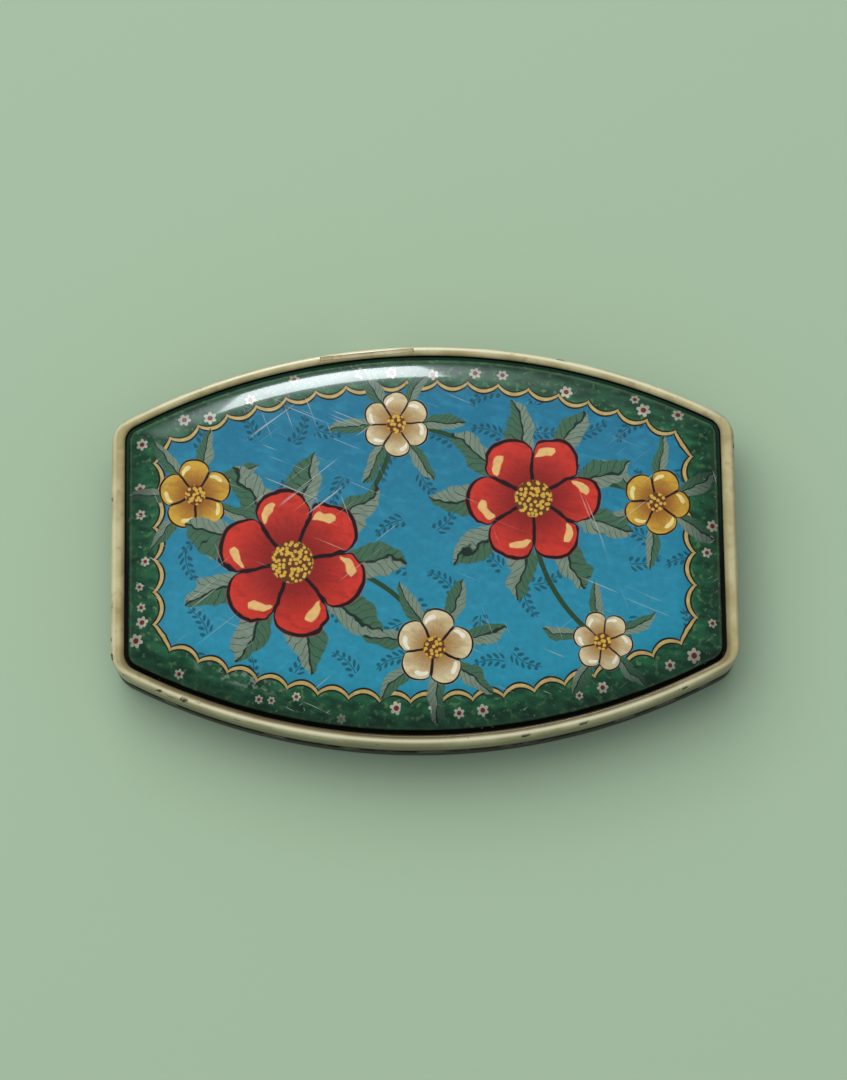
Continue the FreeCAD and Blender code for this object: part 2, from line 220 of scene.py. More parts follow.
def make_lid():
    """The lid's one sheet: skirt and hem, rounded rim, groove and domed panel, inside and outside."""
    outer_centre = (RIM_ROUND, RIM_HEIGHT - RIM_ROUND)
    inner_centre = (RIM_WIDTH - RIM_INNER_ROUND, RIM_HEIGHT - RIM_INNER_ROUND)
    hem_round, hem_edge, groove_round = HEM_INSET / 2, 0.1, 0.15
    # Rings that divide the straight walls and the groove's floor.
    skirt_upper, skirt_lower, wall_ring, hem_ring, groove_ring = 14.6, 11.8, 14, 9.4, 2.6
    skirt = (
        rounded(*outer_centre, RIM_ROUND, 90, 180, 8)
        + [(0, skirt_upper), (0, skirt_lower)]
        + rounded(hem_round, HEM_BOTTOM + hem_round, hem_round, 180, 360, 8))
    skirt_inside = (
        [(HEM_INSET, HEM_BOTTOM + hem_round), (HEM_INSET, hem_ring), (HEM_INSET, HEM_TOP - hem_edge),
         (HEM_INSET - hem_edge, HEM_TOP), (SHEET, HEM_TOP), (SHEET, wall_ring)]
        + rounded(*outer_centre, RIM_ROUND - SHEET, 180, 90, 5))
    groove = (
        [(DOME_INSET, GROOVE_FLOOR), (groove_ring, GROOVE_FLOOR)]
        + rounded(RIM_WIDTH + groove_round, GROOVE_FLOOR + groove_round, groove_round, 270, 180, 3)
        + rounded(*inner_centre, RIM_INNER_ROUND, 0, 90, 7))
    groove_inside = (
        rounded(*inner_centre, RIM_INNER_ROUND - SHEET, 90, 0, 5)
        + [(RIM_WIDTH - SHEET, GROOVE_FLOOR - SHEET), (DOME_INSET + SHEET, GROOVE_FLOOR - SHEET)])
    cream, gold = materials["rim_cream"], materials["inside_lacquer"]
    return joined("lid_shell", [
        swept_face(cream, skirt),
        swept_face(cream, groove, END_EXTRA),
        dome_face(materials["lid_print"], 0),
        swept_face(gold, skirt_inside),
        swept_face(gold, groove_inside, END_EXTRA),
        dome_face(gold, SHEET)], (RIM_HEIGHT, RIM_HEIGHT - SHEET))


def make_tray():
    """The tray's one sheet: flat bottom, low wall, step, leaning neck and rolled edge."""
    step, step_round, foot_round, flat_inset = 6.0, 0.6, 1.4, 3.4
    neck_inset, neck_round = 1.3, 0.2
    curl_inset, curl_height, curl_round = 2.6, 16.1, 0.8
    ledge = step - SHEET
    outside = (
        [(flat_inset, 0)]
        + rounded(foot_round, foot_round, foot_round, 270, 180, 8)
        + rounded(step_round, step - step_round, step_round, 180, 90, 6)
        + [(neck_inset, step)])
    inside = (
        rounded(neck_inset, step + neck_round, neck_round, 270, 360, 3)
        + rounded(curl_inset, curl_height, curl_round, 180, -90, 18)
        + [(2.1, curl_height - curl_round), (1.8, 5.75), (1.75, ledge), (0.4, ledge), (SHEET, 5.6)]
        + rounded(foot_round, foot_round, foot_round - SHEET, 180, 270, 8)
        + [(flat_inset, SHEET)])
    return joined("tray_shell", [
        swept_face(materials["tray_brown"], outside, floor_height=0),
        swept_face(materials["inside_lacquer"], inside, floor_height=SHEET)])


def cut_slot(piece, inset, thickness, bottom, top):
    """Cuts a straight slot along the hinge with a boolean."""
    bpy.ops.object.select_all(action="DESELECT")
    middle = inset + thickness / 2
    x = HINGE_PLACE[0] + middle * math.sin(HINGE_TURN)
    y = HINGE_PLACE[1] - middle * math.cos(HINGE_TURN)
    place = (x * MM, y * MM, (bottom + top) / 2 * MM)
    scale = (HINGE_LENGTH * MM, thickness * MM, (top - bottom) * MM)
    bpy.ops.mesh.primitive_cube_add(size=1, location=place, rotation=(0, 0, HINGE_TURN), scale=scale)
    cutter = bpy.context.object
    slot = piece.modifiers.new("slot", "BOOLEAN")
    slot.operation = "DIFFERENCE"
    slot.solver = "EXACT"
    slot.object = cutter
    bpy.context.view_layer.objects.active = piece
    bpy.ops.object.modifier_apply(modifier="slot")
    bpy.data.objects.remove(cutter)


class Graph:
    """Short ways to add and link nodes in one shader tree."""

    def __init__(self, tree):
        self.tree = tree

    def node(self, kind, **settings):
        node = self.tree.nodes.new(f"ShaderNode{kind}")
        for name, value in settings.items():
            setattr(node, name, value)
        return node

    def feed(self, socket, value):
        if isinstance(value, bpy.types.NodeSocket):
            self.tree.links.new(value, socket)
        else:
            socket.default_value = value

    def math(self, operation, *values):
        node = self.node("Math", operation=operation)
        for socket, value in zip(node.inputs, values):
            self.feed(socket, value)
        return node.outputs[0]

    def vector(self, operation, first, second):
        node = self.node("VectorMath", operation=operation)
        self.feed(node.inputs[0], first)
        self.feed(node.inputs[3 if operation == "SCALE" else 1], second)
        return node.outputs["Value" if operation in ("LENGTH", "DOT_PRODUCT") else "Vector"]

    def split(self, vector):
        node = self.node("SeparateXYZ")
        self.feed(node.inputs[0], vector)
        return node.outputs

    def step(self, value, low, high):
        """0 below low and 1 above high, or the other way round, with a soft change between."""
        node = self.node("MapRange", interpolation_type="SMOOTHSTEP")
        backwards = high < low
        for name, number in (("Value", value), ("From Min", min(low, high)), ("From Max", max(low, high)),
                             ("To Min", float(backwards)), ("To Max", float(not backwards))):
            self.feed(node.inputs[name], number)
        return node.outputs[0]

    def band(self, value, middle, half_width, soft):
        """1 within half_width of the middle."""
        away = self.math("ABSOLUTE", self.math("SUBTRACT", value, middle))
        return self.step(away, half_width + soft, half_width - soft)

    def mix(self, share, first, second):
        node = self.node("Mix", data_type="RGBA")
        self.feed(node.inputs[0], share)
        self.feed(node.inputs[6], first)
        self.feed(node.inputs[7], second)
        return node.outputs[2]

    def noise(self, place, scale, detail=2.0, stretch=None):
        if stretch:
            place = self.vector("MULTIPLY", place, stretch)
        node = self.node("TexNoise")
        self.feed(node.inputs["Vector"], place)
        node.inputs["Scale"].default_value = scale
        node.inputs["Detail"].default_value = detail
        return node.outputs["Fac"]

    def place(self):
        """Place on the tin in millimetres."""
        return self.vector("SCALE", self.node("TexCoord").outputs["Object"], 1 / MM)

    def turned(self, place, degrees):
        """The place turned about the upright."""
        node = self.node("VectorRotate", rotation_type="Z_AXIS")
        self.feed(node.inputs["Vector"], place)
        node.inputs["Angle"].default_value = math.radians(degrees)
        return node.outputs[0]

    def group(self, name, **values):
        node = self.node("Group", node_tree=bpy.data.node_groups[name])
        for socket, value in values.items():
            self.feed(node.inputs[socket], value)
        return node.outputs


def new_group(name, inputs, outputs):
    """An empty node group with named sockets: its graph, its inputs and its output node."""
    tree = bpy.data.node_groups.new(name, "ShaderNodeTree")
    for side, sockets in (("INPUT", inputs), ("OUTPUT", outputs)):
        for socket, kind in sockets.items():
            tree.interface.new_socket(socket, in_out=side, socket_type=f"NodeSocket{kind}")
    return Graph(tree), tree.nodes.new("NodeGroupInput").outputs, tree.nodes.new("NodeGroupOutput").inputs


def ink(red, green, blue):
    """A colour from its 0 to 255 screen values."""
    parts = []
    for part in (red, green, blue):
        part /= 255
        parts.append(part / 12.92 if part <= 0.04045 else ((part + 0.055) / 1.055) ** 2.4)
    return (*parts, 1.0)


# Printed border: the length and depth of one scallop, and the border's least width.
SCALLOP_LENGTH, SCALLOP_DEPTH, BORDER_WIDTH = 7.48, 1.9, 8.4
# The middle of the most scratched area.
SCRATCHED_PLACE = (-26.0, 19.0, 20.0)
BLACK = ink(8, 7, 7)


def make_inset_group():
    """Distances in millimetres inwards from the tin's outline, the panel's outline and a scalloped border."""
    g, given, out = new_group(
        "inset", {"Place": "Vector"}, {"Inset": "Float", "Panel": "Float", "Scallop": "Float"})
    x, y, _ = g.split(given["Place"])
    from_side = g.math("SUBTRACT", WIDTH / 2, g.math("ABSOLUTE", x))
    panel_side = g.math("SUBTRACT", from_side, END_EXTRA)
    across = g.math("ADD", g.math("ABSOLUTE", y), BOW_CENTRE)
    from_centre = g.math("SQRT", g.math("ADD", g.math("MULTIPLY", x, x), g.math("MULTIPLY", across, across)))
    from_bow = g.math("SUBTRACT", BOW, from_centre)
    panel = g.math("SMOOTH_MIN", panel_side, from_bow, 3.0)
    g.feed(out["Inset"], g.math("SMOOTH_MIN", from_side, from_bow, 3.0))
    g.feed(out["Panel"], panel)
    along_bow = g.math("MULTIPLY", g.math("ARCTAN2", x, across), BOW)
    by_side = g.math("LESS_THAN", panel_side, from_bow)
    along = g.math("ADD", g.math("MULTIPLY", by_side, y),
                   g.math("MULTIPLY", g.math("SUBTRACT", 1.0, by_side), along_bow))
    lobe = g.math("ABSOLUTE", g.math("COSINE", g.math("MULTIPLY", along, math.pi / SCALLOP_LENGTH)))
    border = g.math("MULTIPLY_ADD", g.math("POWER", lobe, 0.7), SCALLOP_DEPTH, BORDER_WIDTH)
    g.feed(out["Scallop"], g.math("SUBTRACT", panel, border))


def make_wear_group():
    """Fine scratches, worn specks and cloudy dirt."""
    g, _, out = new_group("wear", {}, {"Scratch": "Float", "Speck": "Float", "Cloud": "Float"})
    place = g.place()
    from_rub = g.vector("LENGTH", g.vector("SUBTRACT", place, SCRATCHED_PLACE), (0, 0, 0))
    rub = g.step(from_rub, 26.0, 10.0)
    scratch = 0.0
    for degrees, scale, thin in ((24, 0.9, 0.735), (-38, 0.7, 0.74), (71, 0.8, 0.75)):
        bent = g.vector("ADD", g.turned(place, degrees), g.vector("SCALE", place, 0.02 * scale))
        streak = g.noise(bent, scale, 1.0, stretch=(0.045, 2.6, 1.0))
        streak = g.math("MULTIPLY_ADD", rub, 0.045, streak)
        scratch = g.math("MAXIMUM", scratch, g.step(streak, thin, thin + 0.035))
    patch = g.step(g.noise(place, 0.045, 1.0), 0.42, 0.62)
    g.feed(out["Scratch"], g.math("MULTIPLY", scratch, g.math("MAXIMUM", patch, rub)))
    g.feed(out["Speck"], g.step(g.noise(place, 1.1, 3.0), 0.7, 0.74))
    g.feed(out["Cloud"], g.noise(place, 0.12, 4.0))


def make_blossom_group():
    """A drawn flower with a ring of leaves behind it."""
    g, given, out = new_group(
        "blossom",
        {"Place": "Vector", "Centre": "Vector", "Radius": "Float", "Petals": "Float", "Turn": "Float",
         "Leaves": "Float", "Reach": "Float"},
        {"Petal": "Float", "Depth": "Float", "Line": "Float", "Streak": "Float", "Glint": "Float", "Heart": "Float",
         "Leaf": "Float", "Vein": "Float", "Half": "Float"})
    wobble = g.math("SUBTRACT", g.noise(given["Place"], 0.16, 2.0), 0.5)
    x, y, _ = g.split(g.vector("SUBTRACT", given["Place"], given["Centre"]))
    away = g.math("SQRT", g.math("ADD", g.math("MULTIPLY", x, x), g.math("MULTIPLY", y, y)))
    away = g.math("DIVIDE", away, given["Radius"])
    angle = g.math("ADD", g.math("ARCTAN2", y, x), given["Turn"])
    angle = g.math("ADD", angle, g.math("MULTIPLY", wobble, 0.35))
    phase = g.math("MULTIPLY", angle, g.math("MULTIPLY", given["Petals"], 0.5))
    lobe = g.math("ABSOLUTE", g.math("COSINE", phase))
    edge = g.math("MULTIPLY_ADD", g.math("POWER", lobe, 0.55), 0.32, 0.68)
    out_share = g.math("DIVIDE", away, edge)
    out_share = g.math("MULTIPLY_ADD", wobble, 0.1, out_share)
    petal = g.step(out_share, 1.01, 0.985)
    seam = g.step(g.math("MULTIPLY", lobe, away), 0.1, 0.06)
    border = g.step(out_share, 0.93, 0.95)
    g.feed(out["Petal"], petal)
    g.feed(out["Line"], g.math("MULTIPLY", g.math("MAXIMUM", seam, border), petal))
    g.feed(out["Depth"], g.step(away, 0.2, 0.95))
    ray = g.math("ABSOLUTE", g.math("SINE", g.math("MULTIPLY_ADD", wobble, 3.0, g.math("MULTIPLY", phase, 7.0))))
    g.feed(out["Streak"], g.math("MULTIPLY", g.step(ray, 0.3, 0.1), g.step(out_share, 0.72, 0.5)))
    left = g.math("SINE", g.math("MULTIPLY", phase, 2.0))
    thick = g.math("MULTIPLY_ADD", g.step(left, 0.1, 0.8), 0.09, -0.015)
    from_arc = g.math("ABSOLUTE", g.math("SUBTRACT", out_share, 0.78))
    g.feed(out["Glint"], g.step(g.math("SUBTRACT", thick, from_arc), 0.0, 0.025))
    g.feed(out["Heart"], g.step(away, 0.29, 0.26))
    sector = g.math("DIVIDE", g.math("MULTIPLY", angle, given["Leaves"]), 2 * math.pi)
    side = g.math("SUBTRACT", g.math("FRACT", sector), 0.5)
    lateral = g.math("MULTIPLY", side, g.math("DIVIDE", g.math("MULTIPLY", away, 2 * math.pi), given["Leaves"]))
    along = g.math("DIVIDE", g.math("SUBTRACT", away, 0.6), g.math("SUBTRACT", given["Reach"], 0.6))
    hump = g.math("MULTIPLY", g.math("MULTIPLY", along, g.math("SUBTRACT", 1.0, along)), 4.0)
    half_width = g.math("MULTIPLY", g.math("POWER", g.math("MAXIMUM", hump, 0.0), 0.75), 0.24)
    spread = g.math("ABSOLUTE", lateral)
    g.feed(out["Leaf"], g.step(g.math("SUBTRACT", half_width, spread), 0.0, 0.03))
    rib = g.step(spread, 0.024, 0.012)
    comb = g.math("FRACT", g.math("MULTIPLY_ADD", spread, -9.0, g.math("MULTIPLY", along, 8.0)))
    g.feed(out["Vein"], g.math("MAXIMUM", rib, g.step(comb, 0.12, 0.04)))
    g.feed(out["Half"], g.step(lateral, -0.01, 0.01))


def make_daisy_group():
    """Small scattered flowers."""
    g, given, out = new_group(
        "daisies", {"Place": "Vector", "Spacing": "Float", "Radius": "Float"},
        {"Petal": "Float", "Heart": "Float", "Centre": "Vector"})
    cells = g.node("TexVoronoi", voronoi_dimensions="2D")
    g.feed(cells.inputs["Vector"], given["Place"])
    g.feed(cells.inputs["Scale"], g.math("DIVIDE", 1.0, given["Spacing"]))
    cells.inputs["Randomness"].default_value = 0.8
    x, y, _ = g.split(g.vector("SUBTRACT", given["Place"], cells.outputs["Position"]))
    chance, turn, _ = g.split(cells.outputs["Color"])
    away = g.math("SQRT", g.math("ADD", g.math("MULTIPLY", x, x), g.math("MULTIPLY", y, y)))
    size = g.math("MULTIPLY", given["Radius"], g.math("MULTIPLY_ADD", turn, 0.6, 0.6))
    away = g.math("DIVIDE", away, size)
    angle = g.math("MULTIPLY_ADD", turn, 6.0, g.math("ARCTAN2", y, x))
    lobe = g.math("ABSOLUTE", g.math("COSINE", g.math("MULTIPLY", angle, 3.0)))
    shown = g.step(chance, 0.3, 0.31)
    petal = g.step(g.math("DIVIDE", away, g.math("MULTIPLY_ADD", lobe, 0.4, 0.6)), 1.05, 0.9)
    g.feed(out["Petal"], g.math("MULTIPLY", petal, shown))
    g.feed(out["Heart"], g.math("MULTIPLY", g.step(away, 0.42, 0.34), shown))
    g.feed(out["Centre"], cells.outputs["Position"])


def make_fern_group():
    """Scattered fern sprigs, each a stem with small leaves on both sides."""
    g, given, out = new_group("ferns", {"Place": "Vector", "Spacing": "Float"}, {"Fern": "Float"})
    cells = g.node("TexVoronoi", voronoi_dimensions="2D")
    g.feed(cells.inputs["Vector"], given["Place"])
    g.feed(cells.inputs["Scale"], g.math("DIVIDE", 1.0, given["Spacing"]))
    cells.inputs["Randomness"].default_value = 0.6
    turn = g.math("MULTIPLY", g.split(cells.outputs["Color"])[0], 2 * math.pi)
    spun = g.node("VectorRotate", rotation_type="Z_AXIS")
    g.feed(spun.inputs["Vector"], g.vector("SUBTRACT", given["Place"], cells.outputs["Position"]))
    g.feed(spun.inputs["Angle"], turn)
    along, across, _ = g.split(spun.outputs[0])
    across = g.math("MULTIPLY_ADD", g.math("MULTIPLY", along, along), -0.06, across)
    spread = g.math("ABSOLUTE", across)
    length = g.math("DIVIDE", given["Spacing"], 3.0)
    taper = g.math("MULTIPLY_ADD", g.math("DIVIDE", along, length), -0.3, 0.75)
    pitch = g.math("SUBTRACT", g.math("MODULO", g.math("ADD", along, 40.0), 1.5), 0.75)
    out_way = g.math("SUBTRACT", spread, g.math("MULTIPLY", taper, 1.1))
    lean = g.math("MULTIPLY", g.math("SUBTRACT", pitch, out_way), 0.707)
    rise = g.math("MULTIPLY", g.math("ADD", pitch, out_way), 0.707)
    oval = g.math("ADD", g.math("POWER", g.math("DIVIDE", g.math("ABSOLUTE", rise), taper), 2.0),
                  g.math("POWER", g.math("DIVIDE", g.math("ABSOLUTE", lean), 0.34), 2.0))
    frond = g.math("MAXIMUM", g.step(oval, 1.1, 0.9), g.step(spread, 0.16, 0.1))
    past_end = g.math("SUBTRACT", g.math("ABSOLUTE", along), length)
    g.feed(out["Fern"], g.math("MULTIPLY", frond, g.step(past_end, 0.0, -0.1)))


def make_stem_group():
    """A bowed stem: part of a circle, ended across its chord."""
    g, given, out = new_group(
        "stem", {"Place": "Vector", "Centre": "Vector", "Radius": "Float", "Middle": "Vector", "Way": "Vector",
                 "Half": "Float"}, {"Stem": "Float"})
    away = g.vector("LENGTH", g.vector("SUBTRACT", given["Place"], given["Centre"]), (0, 0, 0))
    from_line = g.math("ABSOLUTE", g.math("SUBTRACT", away, given["Radius"]))
    along = g.vector("DOT_PRODUCT", g.vector("SUBTRACT", given["Place"], given["Middle"]), given["Way"])
    within = g.math("LESS_THAN", g.math("ABSOLUTE", along), given["Half"])
    near = g.step(g.vector("LENGTH", g.vector("SUBTRACT", given["Place"], given["Middle"]), (0, 0, 0)), 40.0, 39.0)
    g.feed(out["Stem"], g.math("MULTIPLY", g.math("MULTIPLY", g.step(from_line, 0.62, 0.5), within), near))


# Flowers of the printed panel: centre, radius, petals, turn, leaves, leaf reach, and petal colours.
RED = (ink(224, 50, 30), ink(148, 22, 18), ink(246, 196, 120))
CREAM = (ink(232, 216, 170), ink(176, 130, 62), ink(252, 246, 222))
YELLOW = (ink(224, 176, 52), ink(160, 96, 24), ink(250, 232, 150))
FLOWERS = (
    ((40.0, -24.0), 7.0, 6, 0.2, 5, 2.0, CREAM),
    ((-6.0, 27.0), 8.0, 6, 0.5, 6, 2.0, CREAM),
    ((-52.0, 11.0), 8.5, 5, 0.9, 7, 1.9, YELLOW),
    ((53.0, 8.0), 8.0, 5, 0.1, 6, 2.0, YELLOW),
    ((2.0, -25.0), 9.0, 5, 1.1, 7, 1.9, CREAM),
    ((-30.0, -5.0), 17.5, 6, 0.35, 9, 1.5, RED),
    ((25.0, 9.0), 15.5, 6, 0.0, 9, 1.55, RED),
)
# Stems between them: both ends, and the bow to the left of the way.
STEMS = (
    ((-30.0, -5.0), (2.0, -25.0), 6.0),
    ((-30.0, -5.0), (-52.0, 11.0), 4.0),
    ((-30.0, -5.0), (-6.0, 27.0), -5.0),
    ((25.0, 9.0), (-6.0, 27.0), -4.0),
    ((25.0, 9.0), (53.0, 8.0), 4.0),
    ((25.0, 9.0), (40.0, -24.0), -5.0),
)


def make_print_group():
    """The panel's printed colours: flowers on a blue ground inside a green border."""
    g, _, out = new_group("flower_print", {}, {"Colour": "Color"})
    place = g.vector("MULTIPLY", g.place(), (1.0, 1.0, 0.0))
    brush = g.noise(g.turned(place, 12), 0.22, 4.0, stretch=(1.0, 2.2, 1.0))
    mottle = g.noise(place, 0.7, 3.0)
    seeds = g.node("TexVoronoi", voronoi_dimensions="2D")
    g.feed(seeds.inputs["Vector"], place)
    seeds.inputs["Scale"].default_value = 1.0
    seed = g.step(seeds.outputs["Distance"], 0.46, 0.34)
    dark_line = ink(32, 17, 22)
    # Blue ground with fern sprigs, then the stems.
    height = g.split(place)[1]
    colour = g.mix(g.step(height, -34.0, 34.0), ink(30, 150, 178), ink(14, 124, 158))
    colour = g.mix(g.math("MULTIPLY", g.step(brush, 0.45, 0.7), 0.3), colour, ink(52, 164, 196))
    fern = g.group("ferns", Place=place, Spacing=11.0)["Fern"]
    colour = g.mix(g.math("MULTIPLY", fern, 0.8), colour, ink(14, 76, 92))
    for start, end, bow in STEMS:
        start, end = Vector((*start, 0)), Vector((*end, 0))
        chord, middle = end - start, (start + end) / 2
        left = Vector((-chord.y, chord.x, 0)).normalized()
        radius = (chord.length ** 2 / 4 + bow ** 2) / (2 * abs(bow))
        centre = middle - left * (radius - abs(bow)) * math.copysign(1, bow)
        stem = g.group("stem", Place=place, Centre=centre, Radius=radius, Middle=middle, Way=chord.normalized(),
                       Half=chord.length / 2)["Stem"]
        colour = g.mix(stem, colour, ink(44, 76, 44))
    # Scalloped border: a gold line between two dark ones, and green with small flowers.
    edge = g.group("inset", Place=place)["Scallop"]
    grass = g.mix(g.step(brush, 0.32, 0.68), ink(14, 78, 50), ink(44, 126, 82))
    grass = g.mix(g.step(mottle, 0.56, 0.66), grass, ink(92, 140, 84))
    colour = g.mix(g.step(edge, 1.75, 1.6), colour, dark_line)
    colour = g.mix(g.step(edge, 1.3, 1.15), colour, g.mix(mottle, ink(196, 160, 70), ink(232, 210, 140)))
    colour = g.mix(g.step(edge, 0.5, 0.35), colour, dark_line)
    colour = g.mix(g.step(edge, 0.1, -0.05), colour, grass)
    daisy = g.group("daisies", Place=place, Spacing=5.2, Radius=1.5)
    at_daisy = g.group("inset", Place=daisy["Centre"])
    in_grass = g.math("MULTIPLY", g.step(at_daisy["Scallop"], -1.3, -1.4), g.step(at_daisy["Panel"], 4.6, 4.7))
    colour = g.mix(g.math("MULTIPLY", daisy["Petal"], in_grass), colour, ink(236, 232, 208))
    colour = g.mix(g.math("MULTIPLY", daisy["Heart"], in_grass), colour, ink(150, 52, 38))
    # Flowers and their leaves.
    for centre, radius, petals, turn, leaves, reach, (base, deep, glint) in FLOWERS:
        flower = g.group("blossom", Place=place, Centre=(*centre, 0.0), Radius=radius, Petals=petals, Turn=turn,
                         Leaves=leaves, Reach=reach)
        leaf = g.mix(flower["Half"], ink(128, 148, 128), ink(70, 112, 84))
        leaf = g.mix(flower["Vein"], leaf, ink(26, 52, 40))
        colour = g.mix(flower["Leaf"], colour, leaf)
        petal = g.mix(flower["Depth"], deep, base)
        petal = g.mix(g.math("MULTIPLY", g.step(brush, 0.5, 0.62), 0.35), petal, deep)
        petal = g.mix(g.math("MULTIPLY", flower["Streak"], 0.7), petal, deep)
        petal = g.mix(flower["Glint"], petal, glint)
        petal = g.mix(flower["Line"], petal, dark_line)
        petal = g.mix(flower["Heart"], petal, g.mix(seed, ink(110, 58, 24), ink(228, 182, 62)))
        colour = g.mix(flower["Petal"], colour, petal)
    colour = g.mix(g.step(mottle, 0.25, 0.75), g.mix(0.16, colour, ink(40, 30, 24)), colour)
    g.feed(out["Colour"], colour)


def new_material(name):
    """A material with its graph and its shader's inputs."""
    material = bpy.data.materials.new(name)
    material.use_nodes = True
    return material, Graph(material.node_tree), material.node_tree.nodes["Principled BSDF"].inputs


def set_inputs(shader, **numbers):
    """Sets the shader's plain numbers and colours by name."""
    for name, number in numbers.items():
        shader[name.replace("_", " ").title().replace("Ior", "IOR")].default_value = number


def add_bump(g, shader, height, strength, depth):
    """Adds fine relief, with its depth in millimetres."""
    bump = g.node("Bump")
    bump.inputs["Strength"].default_value = strength
    bump.inputs["Distance"].default_value = depth * MM
    g.feed(bump.inputs["Height"], height)
    g.feed(shader["Normal"], bump.outputs["Normal"])


def print_material():
    """Printed and varnished panel, with painted shade darker towards its edge and black at its foot, fine scratches
    and a worn patch.
    """
    material, g, shader = new_material("lid_print")
    place = g.place()
    x, y, z = g.split(place)
    wear = g.group("wear")
    inset = g.group("inset", Place=place)["Panel"]
    colour = g.group("flower_print")["Colour"]
    # Painted shade: darker towards the edge, and black at the foot, reaching higher at the front.
    shade = g.step(inset, 14.0, 4.0)
    colour = g.mix(g.math("MULTIPLY", shade, 0.6), colour, ink(8, 18, 16))
    # Painted shade at the foot, higher up towards the front.
    foot_shade = g.math("MULTIPLY_ADD", g.step(y, 20.0, -30.0), -0.7, z)
    foot = g.step(g.math("MULTIPLY_ADD", wear["Cloud"], 0.6, foot_shade), 18.05, 17.8)
    colour = g.mix(foot, colour, BLACK)
    colour = g.mix(g.math("MULTIPLY", wear["Scratch"], 0.6), colour, ink(206, 204, 192))
    # A slanting worn patch at the front left.
    patch_x = g.math("DIVIDE", g.math("ADD", x, 42.0), 13.0)
    patch_y = g.math("DIVIDE", g.math("ADD", g.math("MULTIPLY_ADD", x, 0.32, y), 44.6), 2.2)
    away = g.math("ADD", g.math("MULTIPLY", patch_x, patch_x), g.math("MULTIPLY", patch_y, patch_y))
    rubbed = g.math("MULTIPLY", g.step(away, 1.0, 0.2), g.step(g.noise(place, 0.6, 4.0), 0.5, 0.58))
    colour = g.mix(g.math("MULTIPLY", rubbed, 0.75), colour, ink(132, 138, 128))
    g.feed(shader["Base Color"], colour)
    gloss = g.math("MULTIPLY_ADD", wear["Cloud"], 0.2, 0.2)
    g.feed(shader["Roughness"], g.math("MULTIPLY_ADD", foot, 0.6, gloss))
    g.feed(shader["Coat Weight"], g.math("MULTIPLY_ADD", foot, -0.85, 0.85))
    set_inputs(shader, coat_roughness=0.06)
    height = g.math("MULTIPLY_ADD", wear["Scratch"], -0.5, g.noise(place, 0.5, 2.0))
    add_bump(g, shader, height, 0.12, 0.02)
    return material


